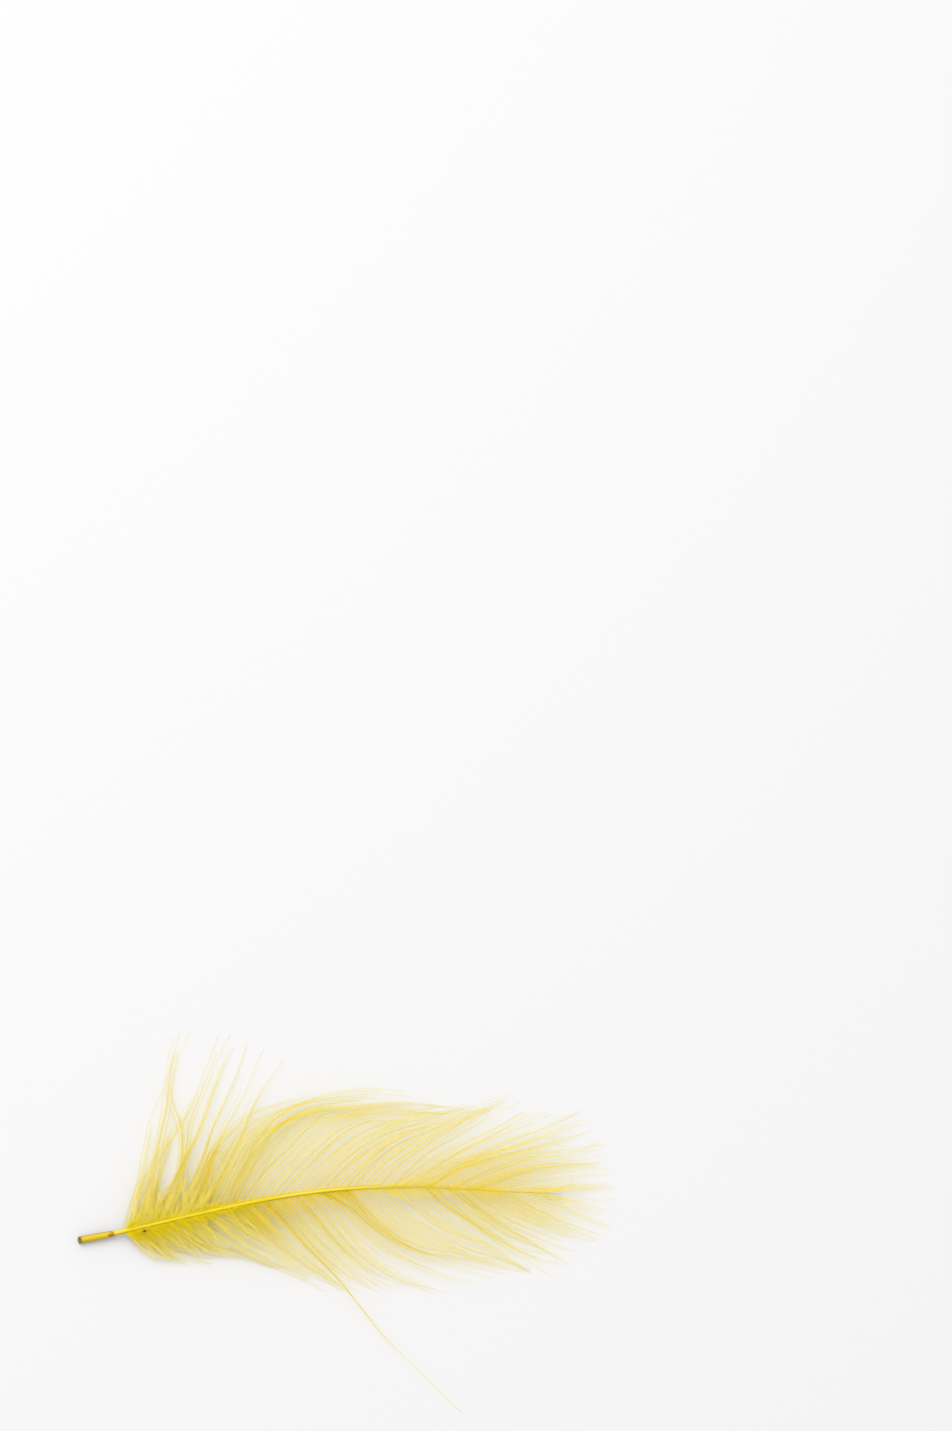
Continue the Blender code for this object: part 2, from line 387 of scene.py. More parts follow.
# Lays a share of one shader over another.
def layShader(nodes, links, share, below, above):
    mix = nodes.new("ShaderNodeMixShader")
    mix.inputs["Fac"].default_value = share
    links.new(below, mix.inputs[1])
    links.new(above, mix.inputs[2])
    return mix.outputs["Shader"]


# Dyed keratin: a colour group feeds the surface, and a share of the light goes through it.
def startDyed(name, group, sockets, look):
    material, nodes, links, shader = startMaterial(name, look)
    tone = nodes.new("ShaderNodeGroup")
    tone.node_tree = group
    for socket in sockets:
        tone.inputs[socket].default_value = (*look[socket.lower()], 1)
    links.new(tone.outputs["Colour"], shader.inputs["Base Color"])
    glow = nodes.new("ShaderNodeBsdfTranslucent")
    links.new(tone.outputs["Colour"], glow.inputs["Color"])
    body = layShader(nodes, links, look["through"], shader.outputs["BSDF"], glow.outputs["BSDF"])
    return material, nodes, links, body


def featherMaterial(name, look):
    material, nodes, links, body = startDyed(name, dyeTone, ("Deep", "Pale"), look)
    clear = nodes.new("ShaderNodeBsdfTransparent")
    clear.inputs["Color"].default_value = (*look["tint"], 1)
    airy = layShader(nodes, links, look["clear"], body, clear.outputs["BSDF"])
    links.new(airy, nodes["Material Output"].inputs["Surface"])
    return material


barbLook = {
    "deep": (0.96, 0.81, 0.0),
    "pale": (0.998, 0.93, 0.12),
    "tint": (1.0, 0.975, 0.5),
    "roughness": 0.6,
    "specular": 0.2,
    "through": 0.7,
    "clear": 0.25,
}
barbuleLook = {
    "deep": (0.998, 0.88, 0.0),
    "pale": (0.998, 0.93, 0.15),
    "tint": (1.0, 0.965, 0.45),
    "roughness": 0.6,
    "specular": 0.2,
    "through": 0.92,
    "clear": 0.65,
}
hemLook = {
    "deep": (0.995, 0.85, 0.0),
    "pale": (0.995, 0.865, 0.01),
    "tint": (1.0, 0.93, 0.12),
    "roughness": 0.6,
    "specular": 0.2,
    "through": 0.2,
    "clear": 0.3,
}
fluffLook = {
    "deep": (0.998, 0.885, 0.12),
    "pale": (0.998, 0.93, 0.6),
    "tint": (1.0, 0.965, 0.45),
    "roughness": 0.6,
    "specular": 0.2,
    "through": 0.1,
    "clear": 0.45,
}
barbMaterial = featherMaterial("dyedBarbs", barbLook)
barbuleMaterial = featherMaterial("dyedBarbules", barbuleLook)
fluffMaterial = featherMaterial("dyedFluff", fluffLook)
hemMaterial = featherMaterial("dyedHem", hemLook)


# Vanes. Each row is where a barb leaves the shaft, its headings at even stations along it, and its length. Rows
# are listed or picked, and barbs between two rows are blended from them. A clump starts at its first number
# and lasts to the next one's; then come how tightly its barbs draw together, and the shares of their length
# where that starts and is done.
vanes = {
    "upper": {
        "rows": [
            (-24.7, (72, 66), 7.0),
            (-21.4, (68, 62), 9.0),
            (-18.6, (70, 68, 62, 50, 44, 40), 13.0),
            (-17.4, (70, 70, 64, 44, 26, 16, 6, 0), 22.0),
            (-15.2, (68, 68, 60, 38, 20, 10, 2, -6), 26.0),
            (-13.5, (64, 57, 50, 30, 12, 5, 0, -2), 28.0),
            (-11.0, (59, 53, 46, 36, 18, 8, 2, 0), 26.0),
            (-8.1, (53, 48, 45, 36, 22, 10, 4, 4), 24.0),
            (-5.0, (50, 47, 43, 34, 22, 14, 8, 6), 22.5),
            pickedRow(
                (320, 1193), (336, 1176), (352, 1160), (370, 1145), (388, 1134), (410, 1126), (430, 1121),
                (450, 1115), (472, 1104), turned=(0, 0, 0, 0, 2, 2, -9, -18), length=21.0,
            ),
            pickedRow(
                (350, 1190), (366, 1172), (384, 1156), (404, 1143), (424, 1134), (444, 1126), (462, 1117),
                (480, 1108), (497, 1100), turned=(0, 0, 1, 1, 1, -7, -6, -4), length=20.0,
            ),
            pickedRow(
                (380, 1188), (400, 1167), (425, 1147), (450, 1131), (470, 1119), (490, 1106), (512, 1096),
                turned=(0, 0, 0, 0, 0, -6, -3, 1),
            ),
            (4.9, (44, 41, 37, 34, 30, 24, 28, 22), 18.6),
            (5.3, (38, 33, 28, 26, 24, 25, 28, 30), 19.5),
            (6.7, (35, 31, 26, 22, 22, 24, 24, 28), 20.0),
            pickedRow(
                (415, 1188), (440, 1175), (462, 1164), (484, 1155), (506, 1146), (526, 1137), (546, 1130),
                (566, 1121), (586, 1113), turned=(6, 0, 0, 0, 0, 2, -1, 1), length=21.0,
            ),
            pickedRow(
                (435, 1188), (450, 1178), (468, 1168), (490, 1160), (515, 1152), (540, 1147), (560, 1142),
                (580, 1136), (593, 1131), turned=(0, 0, 2, 0, 3, 0, 0, -3),
            ),
            pickedRow(
                (452, 1189), (472, 1177), (500, 1166), (522, 1157), (546, 1151), (572, 1147), (602, 1141),
                turned=(-2, 0, 0, -4, 0, 1, 0, 0),
            ),
            pickedRow(
                (466, 1189), (490, 1179), (520, 1168), (545, 1163), (572, 1158), (600, 1153),
                turned=(2, 0, 0, 0, 0, -1, 0, 0),
            ),
            pickedRow(
                (478, 1190), (494, 1180), (508, 1175), (522, 1170), (538, 1167), (560, 1165), (582, 1166),
                (608, 1166), turned=(-8, 0, -1, 0, 0, 3, 0, 0),
            ),
            pickedRow(
                (505, 1191), (530, 1187), (560, 1184), (588, 1181), (610, 1179),
                turned=(2, 0, 0, 0, 0, 0, 0, 0),
            ),
            (20.4, (9, 7, 5, 3, 2, 2, -4, -8), 10.7),
            (23.8, (9, 3), 6.3),
        ],
        "clumps": [
            (-24.8, 0.6, 0.1, 0.9),
            (-23.6, 0.6, 0.2, 0.9),
            (-22.0, 0.65, 0.15, 0.9),
            (-20.4, 0.6, 0.2, 0.9),
            (-18.0, 0.21, 0.1, 0.7),
            (-15.2, 0.24, 0.1, 0.8),
            (-13.8, 0.21, 0.1, 0.8),
            (-12.5, 0.24, 0.3, 1.0),
            (-10.5, 0.18, 0.35, 1.0),
            (-9.2, 0.21, 0.4, 1.0),
            (-7.0, 0.18, 0.4, 1.0),
            (-5.2, 0.21, 0.4, 1.0),
            (-3.9, 0.18, 0.4, 1.0),
            (-2.0, 0.21, 0.4, 1.0),
            (-0.6, 0.18, 0.35, 1.0),
            (1.0, 0.18, 0.3, 1.0),
            (3.2, 0.24, 0.3, 0.9),
            (5.0, 0.3, 0.3, 0.9),
            (6.4, 0.3, 0.3, 0.9),
            (8.2, 0.3, 0.2, 0.8),
            (10.4, 0.24, 0.3, 0.9),
            (12.5, 0.21, 0.3, 1.0),
            (14.2, 0.3, 0.2, 0.8),
            (16.8, 0.18, 0.4, 1.0),
            (19.0, 0.15, 0.4, 1.0),
            (21.0, 0.12, 0.5, 1.0),
        ],
        "spacingAt": [
            (-24.7, 1.4),
            (-19.0, 1.2),
            (-16.0, 0.6),
            (-13.0, 0.52),
            (8.0, 0.52),
            (15.0, 0.5),
            (18.0, 0.7),
            (24.0, 1.2),
        ],
        "seed": 11,
    },
    "lower": {
        "rows": [
            (-24.7, (-60, -14), 6.0),
            (-22.4, (-40, -22, -12, -14), 9.0),
            (-19.4, (-38, -26, -20, -22), 12.5),
            pickedRow(
                (210, 1212), (230, 1226), (250, 1238), (268, 1250), (288, 1262), (306, 1274), (322, 1284),
                turned=(0, 0, -1, 2, -1, 0, 0, 0),
            ),
            pickedRow(
                (250, 1205), (268, 1222), (284, 1238), (300, 1254), (316, 1267), (334, 1280), (350, 1292),
                turned=(0, 0, 0, 2, 0, -1, 0, 0), length=15.7,
            ),
            pickedRow(
                (290, 1198), (306, 1212), (322, 1230), (338, 1248), (352, 1262), (368, 1274), (386, 1283),
                turned=(0, 0, 2, 0, 1, 0, -3, -3), length=16.4,
            ),
            pickedRow(
                (310, 1195), (326, 1210), (344, 1232), (360, 1250), (380, 1264), (402, 1275), (424, 1283),
                (445, 1287), turned=(0, 1, 3, 0, -2, 0, 0, -4), length=20.0,
            ),
            pickedRow(
                (335, 1193), (350, 1204), (365, 1218), (380, 1231), (400, 1244), (418, 1252), (440, 1257),
                (466, 1262), (490, 1266), turned=(-3, -1, 0, 0, -2, -3, -1, -2), length=21.2,
            ),
            pickedRow(
                (350, 1191), (370, 1210), (392, 1228), (412, 1240), (436, 1250), (462, 1257), (488, 1263),
                (505, 1267), turned=(0, 0, 0, 0, 0, -2, 0, 0), length=20.8,
            ),
            pickedRow(
                (380, 1190), (398, 1206), (418, 1222), (442, 1236), (470, 1248), (500, 1259), (522, 1267),
                length=19.4,
            ),
            pickedRow(
                (410, 1190), (430, 1208), (443, 1222), (460, 1233), (478, 1243), (492, 1253), (512, 1263),
                (532, 1271), turned=(0, 0, 4, -3, 2, 2, -1, 0),
            ),
            pickedRow(
                (427, 1190), (446, 1207), (466, 1219), (484, 1228), (500, 1238), (516, 1249), (536, 1257),
                (555, 1268), (570, 1278), turned=(1, 0, -3, -1, 4, -4, 4, 5), length=18.5,
            ),
            pickedRow(
                (448, 1191), (463, 1205), (480, 1217), (496, 1228), (513, 1237), (530, 1246), (548, 1253),
                turned=(1, 0, -2, 3, -1, 4, -2, -3), length=14.5,
            ),
            pickedRow(
                (470, 1191), (485, 1203), (500, 1213), (520, 1221), (540, 1228), (560, 1235), (580, 1241),
                (594, 1244), turned=(0, 1, -1, -1, 0, 0, 0, -2),
            ),
            pickedRow((505, 1192), (525, 1203), (545, 1212), (565, 1221), (588, 1230), (604, 1236)),
            pickedRow(
                (530, 1193), (550, 1200), (570, 1207), (590, 1213), (612, 1221),
                turned=(0, 0, 0, 0, -1, 0, 0, 0),
            ),
            (23.8, (-11, -5), 6.0),
        ],
        "clumps": [
            (-24.8, 0.5, 0.2, 0.9),
            (-22.6, 0.5, 0.2, 0.9),
            (-20.4, 0.4, 0.3, 0.9),
            (-17.6, 0.24, 0.3, 0.9),
            (-15.0, 0.24, 0.25, 1.0),
            (-12.2, 0.24, 0.3, 1.0),
            (-9.4, 0.24, 0.3, 1.0),
            (-7.2, 0.24, 0.3, 1.0),
            (-5.4, 0.27, 0.3, 1.0),
            (-3.6, 0.3, 0.2, 0.7),
            (-0.6, 0.24, 0.3, 0.9),
            (1.6, 0.21, 0.3, 1.0),
            (3.5, 0.24, 0.4, 1.0),
            (5.6, 0.45, 0.2, 0.7),
            (8.4, 0.45, 0.2, 0.7),
            (10.8, 0.3, 0.2, 0.8),
            (12.8, 0.18, 0.3, 0.9),
            (15.4, 0.15, 0.4, 1.0),
            (17.0, 0.12, 0.5, 1.0),
            (19.0, 0.12, 0.5, 1.0),
            (21.4, 0.12, 0.5, 1.0),
        ],
        "spacingAt": [
            (-24.7, 0.9),
            (-16.0, 0.6),
            (-12.0, 0.42),
            (-9.0, 0.42),
            (0.0, 0.44),
            (4.0, 0.6),
            (11.0, 0.75),
            (14.0, 0.55),
            (18.0, 0.5),
            (20.0, 0.8),
            (24.0, 1.2),
        ],
        "seed": 23,
    },
}
vaneLook = {
    "steps": 22,
    "places": 2000,
    "rootJitter": 0.02,
    "headingJitter": (0.7, 2.0, 4.0),
    "wildShare": 0.12,
    "wildness": 2.5,
    "arch": 0.45,
    "archJitter": 0.09,
    "swayAt": [(-24.7, 0.5), (-16.0, 0.35), (-10.0, 0.16), (8.0, 0.12), (24.7, 0.12)],
    "swaySpread": (0.5, 1.2),
    "waveLength": 9,
    "wavePhase": (0.21, 0.05),
    "pairSizes": (2, 5),
    "pairs": (0.25, 0.5, 1.0),
    "pairSpread": (0, 1.6),
    "shortest": 0.5,
    "shortPower": 3,
    "tone": (0, 0.35),
    "barbRadius": (0.044, 0.004),
    "pieces": [("root", -30.0, -14.0), ("base", -14.0, -7.0), ("middle", -7.0, 6.0), ("tip", 6.0, 30.0)],
}
# Barbules of the vanes, of the soft barbs above the quill, and of the bands.
vaneBarbules = {
    "spacing": 0.034,
    "angle": ((0, 0.5, 1), (36, 32, 15)),
    "angleSpread": 10,
    "tilt": 32,
    "length": ((0, 0.2, 0.35, 0.6, 1), (0.32, 0.34, 0.6, 0.55, 0.25)),
    "radius": ((0, 0.2, 0.4, 1), (0.013, 0.011, 0.006, 0.0035)),
}
rootBarbules = {
    "spacing": 0.034,
    "angle": ((0, 0.5, 1), (42, 36, 18)),
    "angleSpread": 14,
    "tilt": 12,
    "length": ((0, 0.3, 0.7, 1), (0.7, 0.85, 0.6, 0.3)),
    "radius": ((0, 0.5, 1), (0.008, 0.008, 0.005)),
}
bandBarbules = {
    "spacing": 0.037,
    "angle": ((0, 0.5, 1), (40, 32, 15)),
    "angleSpread": 12,
    "tilt": 32,
    "length": ((0, 0.15, 0.6, 1), (0.5, 0.75, 0.65, 0.3)),
    "radius": ((0, 0.4, 1), (0.006, 0.006, 0.0035)),
}


# Spreads each row's headings evenly over the same number of places, so that rows can be blended.
def evenHeadings(rows):
    most = max(len(row) for row in rows)
    places = np.linspace(0, 1, most)
    return np.stack([np.interp(places, np.linspace(0, 1, len(row)), row) for row in rows])


# A pair's members are neighbours along the shaft, so it holds two, three or four barbs.
def pairUp(count, rng):
    sizes = rng.integers(*vaneLook["pairSizes"], count)
    return np.repeat(np.arange(count), sizes)[:count]


# Barbs of one vane. The running sum of 1 / spacing along the shaft counts them, so one leaves it at each whole
# number. Rows are blended to their places, and then come jitter, waves, clumps, pairs and worn ends.
def vanePaths(vane):
    rng = np.random.default_rng(vane["seed"])
    rowX = np.array([row[0] for row in vane["rows"]])
    rowHeadings = evenHeadings([row[1] for row in vane["rows"]])
    along = np.linspace(rowX[0], rowX[-1], vaneLook["places"])
    passed = np.cumsum(1 / np.interp(along, *zip(*vane["spacingAt"]))) * (along[1] - along[0])
    count = int(passed[-1])
    rootX = np.interp(np.arange(count), passed, along)
    rootX = rootX + rng.normal(0, vaneLook["rootJitter"], count)
    headings = np.stack([np.interp(rootX, rowX, column) for column in rowHeadings.T], axis=1)
    length = np.interp(rootX, rowX, [row[2] for row in vane["rows"]])
    wild = np.where(rng.random(count) < vaneLook["wildShare"], vaneLook["wildness"], 1.0)[:, None]
    jitter = np.interp(np.linspace(0, 1, headings.shape[1]), (0, 0.5, 1), vaneLook["headingJitter"])
    headings = headings + rng.normal(0, 1, headings.shape) * jitter * wild
    arch = vaneLook["arch"] + rng.normal(0, vaneLook["archJitter"], count)
    paths = growBarbs(rootX, headings, length, arch, vaneLook["steps"])
    swaySize = np.interp(rootX, *zip(*vaneLook["swayAt"])) * rng.uniform(*vaneLook["swaySpread"], count)
    phaseStep, phaseJitter = vaneLook["wavePhase"]
    phase = rootX * phaseStep + rng.normal(0, phaseJitter, count)
    paths = sway(paths, swaySize, length / vaneLook["waveLength"], phase)
    clumps = np.array(vane["clumps"])
    clump = np.clip(np.searchsorted(clumps[:, 0], rootX, side="right") - 1, 0, None)
    paths = gather(paths, clump, *clumps[:, 1:].T)
    pair = pairUp(count, rng)
    tightness, start, full = (np.full(count, value) for value in vaneLook["pairs"])
    paths = gather(paths, pair, tightness * rng.uniform(*vaneLook["pairSpread"], count), start, full)
    paths = trim(paths, 1 - (1 - vaneLook["shortest"]) * rng.random(count) ** vaneLook["shortPower"])
    return rootX, paths, rng.uniform(*vaneLook["tone"], count)


for side, vane in vanes.items():
    rootX, paths, tone = vanePaths(vane)
    for pieceName, low, high in vaneLook["pieces"]:
        kept = (rootX >= low) & (rootX < high)
        even = np.ones(kept.sum())
        soft = pieceName == "root"  # the barbs above the quill are softer
        parts = [
            barbTubes(paths[kept], tone[kept], *vaneLook["barbRadius"]),
            barbules(paths[kept], tone[kept], even, rootBarbules if soft else vaneBarbules, vane["seed"] + 1),
        ]
        materials = [barbuleMaterial, fluffMaterial] if soft else [barbMaterial, barbuleMaterial]
        makeObject(f"{side}_vane_{pieceName}", parts, materials)


# Strands: long loose barbs that keep together in small bundles, in rows as the vanes have.
ribbonBarbules = {
    "spacing": 0.032,
    "angle": ((0, 0.5, 1), (40, 30, 18)),
    "angleSpread": 12,
    "tilt": 30,
    "length": ((0, 0.15, 0.4, 0.7, 1), (0.3, 0.5, 0.55, 0.38, 0.22)),
    "radius": ((0, 0.3, 1), (0.0065, 0.0075, 0.0045)),
}
strands = {
    "down_strands": {
        "rows": [
            pickedRow(
                (127, 1224), (134, 1200), (140, 1180), (143, 1165), (146, 1148), (150, 1128), (155, 1110),
                (161, 1099), (166, 1088),
            ),
            pickedRow(
                (141, 1224), (147, 1200), (151, 1180), (155, 1158), (159, 1138), (163, 1120), (166, 1103),
                (168, 1085), (170, 1068), (174, 1050), (178, 1034),
            ),
            pickedRow(
                (131, 1225), (138, 1203), (146, 1182), (154, 1162), (164, 1147), (174, 1132), (184, 1117),
                (193, 1105), (198, 1088), (204, 1068), (211, 1050), (217, 1034), stations=7,
            ),
            pickedRow(
                (172, 1219), (180, 1190), (185, 1165), (187, 1142), (184, 1122), (178, 1103), (172, 1090),
                (176, 1072), (184, 1057), (192, 1044), (199, 1032),
            ),
            pickedRow((146, 1224), (153, 1200), (159, 1178), (165, 1160), (170, 1142), (173, 1126)),
            pickedRow(
                (176, 1218), (182, 1190), (186, 1160), (188, 1135), (192, 1115), (199, 1097), (206, 1080),
                (212, 1060), (218, 1045), (224, 1034),
            ),
            pickedRow(
                (158, 1222), (166, 1200), (178, 1178), (190, 1155), (200, 1137), (208, 1117), (214, 1098),
                (221, 1079), (229, 1060), (236, 1046),
            ),
            pickedRow(
                (180, 1217), (188, 1197), (198, 1177), (206, 1158), (212, 1138), (220, 1118), (230, 1099),
                (238, 1080), (245, 1060), (251, 1042),
            ),
            pickedRow(
                (190, 1216), (199, 1190), (210, 1163), (220, 1140), (230, 1121), (241, 1100), (249, 1085),
                (257, 1066), (265, 1050),
            ),
            pickedRow(
                (207, 1213), (217, 1185), (230, 1160), (243, 1136), (251, 1115), (256, 1098), (265, 1084),
                (274, 1073), (283, 1060),
            ),
            pickedRow(
                (196, 1215), (201, 1190), (206, 1165), (211, 1150), (224, 1136), (238, 1121), (252, 1111),
                (272, 1106), (300, 1097),
            ),
            (-16.9, (82, 80, 82, 81, 80, 76, -55, -72, -76, -80), 12.4),
        ],
        "members": 5,
        "headingJitter": 2.2,
        "rootJitter": 0.45,
        "kept": (0.45, 1.0),
        "tightness": 0.45,
        "arch": (0.3, 0.9),
        "steps": 32,
        "barbRadius": (0.012, 0.004),
        "barbuleSize": 1.0,
        "barbules": ribbonBarbules,
        "seed": 5,
    },
    "under_strands": {
        "rows": [
            (-23.7, (-62, -58, -50, -42, -36, -30, -22, -18), 7.2),
            pickedRow((138, 1231), (148, 1246), (160, 1256), (175, 1259), (190, 1262), (210, 1266)),
            pickedRow((141, 1230), (152, 1243), (166, 1249), (182, 1252), (195, 1256), (214, 1258)),
            pickedRow(
                (150, 1229), (170, 1240), (195, 1246), (215, 1250), (235, 1253), (246, 1258), (258, 1265),
                (275, 1269),
            ),
            pickedRow(
                (160, 1226), (190, 1240), (220, 1248), (245, 1254), (262, 1262), (285, 1272), (305, 1281),
                (330, 1292),
            ),
        ],
        "members": 3,
        "headingJitter": 3.5,
        "rootJitter": 0.6,
        "kept": (0.5, 1.0),
        "tightness": 0.2,
        "arch": (0.1, 0.35),
        "steps": 28,
        "barbRadius": (0.008, 0.004),
        "barbuleSize": 0.75,
        "barbules": ribbonBarbules,
        "seed": 6,
    },
    "arch_band": {
        "rows": [
            (-16.2, (70, 72, 64, 42, 21, 12, 4, -6), 25.5),
            pickedRow(
                (213, 1211), (222, 1188), (229, 1170), (237, 1152), (248, 1136), (262, 1122), (280, 1112),
                (300, 1106), (322, 1099), (345, 1096), (370, 1095), (395, 1098),
            ),
            (-14.4, (67, 64, 56, 30, 10, 8, -4, -5), 30.0),
            pickedRow(
                (228, 1209), (240, 1186), (252, 1168), (266, 1148), (282, 1130), (300, 1117), (322, 1108),
                (345, 1106), (366, 1104), (388, 1100), (412, 1101), (440, 1104), (472, 1106), rootX=-13.8,
            ),
        ],
        "members": 4,
        "headingJitter": 2.5,
        "rootJitter": 1.4,
        "kept": (0.6, 1.0),
        "tightness": 0.1,
        "arch": (0.35, 0.6),
        "steps": 28,
        "barbRadius": (0.007, 0.003),
        "barbuleSize": 1.1,
        "barbules": bandBarbules,
        "seed": 63,
    },
    "tip_bands": {
        "rows": [
            (6.2, (36, 35, 34, 29, 27, 27, 33, 27), 17.2),
            (9.9, (34, 30, 20, 20, 13, 15, 16, 20), 19.8),
            (14.4, (19, 19, 22, 21, 10, 3, 1, 2), 15.2),
            (8.8, (-44, -38, -36, -37, -30, -24, -16, -12), 18.0),
            (11.6, (-37, -37, -35, -31, -30, -30, -29, -28), 16.0),
            (13.2, (-36, -35, -34, -28, -24, -21, -19, -18), 15.6),
        ],
        "members": 3,
        "headingJitter": 2.0,
        "rootJitter": 0.8,
        "kept": (0.6, 1.0),
        "tightness": 0.15,
        "arch": (0.35, 0.6),
        "steps": 28,
        "barbRadius": (0.007, 0.003),
        "barbuleSize": 1.0,
        "barbules": bandBarbules,
        "seed": 65,
    },
    "lower_bands": {
        "rows": [
            (-8.4, (-46, -46, -48, -47, -42, -36, -30, -24), 15.5),
            (-5.6, (-44, -50, -52, -46, -36, -26, -16, -12), 18.5),
            pickedRow(
                (318, 1194), (335, 1200), (350, 1208), (365, 1221), (380, 1233), (400, 1246), (418, 1254),
                (440, 1259), (466, 1263), (496, 1268), rootX=-2.4, length=21.5,
            ),
            pickedRow(
                (335, 1193), (350, 1204), (365, 1218), (380, 1231), (400, 1244), (418, 1252), (440, 1257),
                (466, 1262), (490, 1266), rootX=-0.8, length=19.2,
            ),
        ],
        "members": 5,
        "headingJitter": 2.5,
        "rootJitter": 0.8,
        "kept": (0.5, 1.0),
        "tightness": 0.15,
        "arch": (0.35, 0.6),
        "steps": 28,
        "barbRadius": (0.007, 0.003),
        "barbuleSize": 1.0,
        "barbules": bandBarbules,
        "seed": 64,
    },
    "upper_strands": {
        "rows": [
            pickedRow(
                (245, 1205), (262, 1180), (280, 1160), (300, 1141), (314, 1124), (330, 1112), (346, 1110),
                (364, 1115), (382, 1122), (402, 1127),
            ),
            pickedRow(
                (275, 1200), (290, 1182), (306, 1165), (322, 1148), (338, 1133), (354, 1124), (376, 1120),
                (404, 1122), (424, 1119), (444, 1110),
            ),
            pickedRow(
                (320, 1193), (336, 1176), (352, 1160), (370, 1145), (388, 1134), (410, 1126), (430, 1121),
                (450, 1115), (472, 1104),
            ),
            pickedRow(
                (350, 1190), (366, 1172), (384, 1156), (404, 1143), (424, 1134), (444, 1126), (462, 1117),
                (480, 1108), (497, 1100),
            ),
            pickedRow(
                (380, 1188), (400, 1167), (425, 1147), (450, 1131), (470, 1119), (490, 1106), (512, 1096),
            ),
            pickedRow(
                (415, 1188), (440, 1175), (462, 1164), (484, 1155), (506, 1146), (526, 1137), (546, 1130),
                (566, 1121), (586, 1113),
            ),
            pickedRow(
                (452, 1189), (472, 1177), (500, 1166), (522, 1157), (546, 1151), (572, 1147), (602, 1141),
            ),
        ],
        "members": 2,
        "headingJitter": 2.5,
        "rootJitter": 0.5,
        "kept": (0.6, 1.0),
        "tightness": 0.15,
        "arch": (0.4, 0.7),
        "steps": 28,
        "barbRadius": (0.009, 0.004),
        "barbuleSize": 0.7,
        "barbules": ribbonBarbules,
        "seed": 61,
    },
    "lower_strands": {
        "rows": [
            pickedRow(
                (430, 1190), (446, 1204), (462, 1214), (478, 1222), (495, 1232), (512, 1240), (530, 1247),
                (548, 1252),
            ),
            pickedRow((505, 1192), (525, 1203), (545, 1212), (565, 1221), (588, 1230), (604, 1236)),
            pickedRow((530, 1193), (560, 1199), (590, 1201), (617, 1201)),
        ],
        "members": 2,
        "headingJitter": 2.5,
        "rootJitter": 0.5,
        "kept": (0.6, 1.0),
        "tightness": 0.15,
        "arch": (0.4, 0.7),
        "steps": 28,
        "barbRadius": (0.009, 0.004),
        "barbuleSize": 0.7,
        "barbules": ribbonBarbules,
        "seed": 62,
    },
    "stray_barb": {
        "rows": [
            pickedRow(
                (264, 1202), (277, 1216), (290, 1230), (305, 1247), (322, 1264), (337, 1279), (352, 1297),
                (362, 1310), (373, 1326), (396, 1350), (416, 1369), (434, 1388), (460, 1412),
            ),
        ],
        "members": 4,
        "headingJitter": 0.5,
        "rootJitter": 0.15,
        "kept": (0.45, 0.7),
        "tightness": 0.7,
        "arch": (0.05, 0.15),
        "steps": 40,
        "barbRadius": (0.019, 0.014),
        "barbuleSize": 0.6,
        "barbules": ribbonBarbules,
        "seed": 44,
    },
}
strandLook = {"tone": (-0.2, 0.25), "closing": (0.05, 0.4)}


# Each row is repeated for its strand's members, with jitter, and they draw together as a clump.
def strandPaths(strand):
    rng = np.random.default_rng(strand["seed"])
    members = strand["members"]
    count = members * len(strand["rows"])
    rootX = np.repeat([row[0] for row in strand["rows"]], members)
    rootX = rootX + rng.normal(0, strand["rootJitter"], count)
    headings = np.repeat(evenHeadings([row[1] for row in strand["rows"]]), members, axis=0)
    headings = headings + rng.normal(0, strand["headingJitter"], headings.shape)
    length = np.repeat([row[2] for row in strand["rows"]], members)
    paths = growBarbs(rootX, headings, length, rng.uniform(*strand["arch"], count), strand["steps"])
    bundle = np.repeat(np.arange(len(strand["rows"])), members)
    closing = (strand["tightness"], *strandLook["closing"])
    paths = gather(paths, bundle, *(np.full(len(strand["rows"]), value) for value in closing))
    kept = rng.uniform(*strand["kept"], count)
    kept[::members] = 1  # one member of each strand reaches its end
    return trim(paths, kept), rng.uniform(*strandLook["tone"], count)


for name, strand in strands.items():
    paths, tone = strandPaths(strand)
    size = np.full(len(paths), strand["barbuleSize"])
    parts = [
        barbTubes(paths, tone, *strand["barbRadius"]),
        barbules(paths, tone, size, strand["barbules"], strand["seed"] + 1),
    ]
    makeObject(name, parts, [barbuleMaterial])


# Tuft: short crowded barbs on both sides of the shaft above the quill. The hem is a close sheet level with the
# shaft, and the fluff lies looser under it. Each group is where its barbs leave the shaft, their headings there
# and at their tips, the heading's scatter, their lengths, the share of length left at the far end, and a count.
tuftBarbules = {
    "spacing": 0.06,
    "angle": ((0, 1), (32, 22)),
    "angleSpread": 10,
    "tilt": 30,
    "length": ((0, 0.7, 1), (0.6, 0.55, 0.3)),
    "radius": ((0, 1), (0.013, 0.008)),
}
woolBarbules = {
    "spacing": 0.05,
    "angle": ((0, 1), (45, 35)),
    "angleSpread": 20,
    "tilt": 30,
    "length": ((0, 0.6, 1), (0.8, 0.7, 0.4)),
    "radius": ((0, 1), (0.011, 0.007)),
}
fringeBarbules = {
    "spacing": 0.075,
    "angle": ((0, 1), (35, 30)),
    "angleSpread": 12,
    "tilt": 20,
    "length": ((0, 1), (0.35, 0.3)),
    "radius": ((0, 1), (0.009, 0.005)),
}
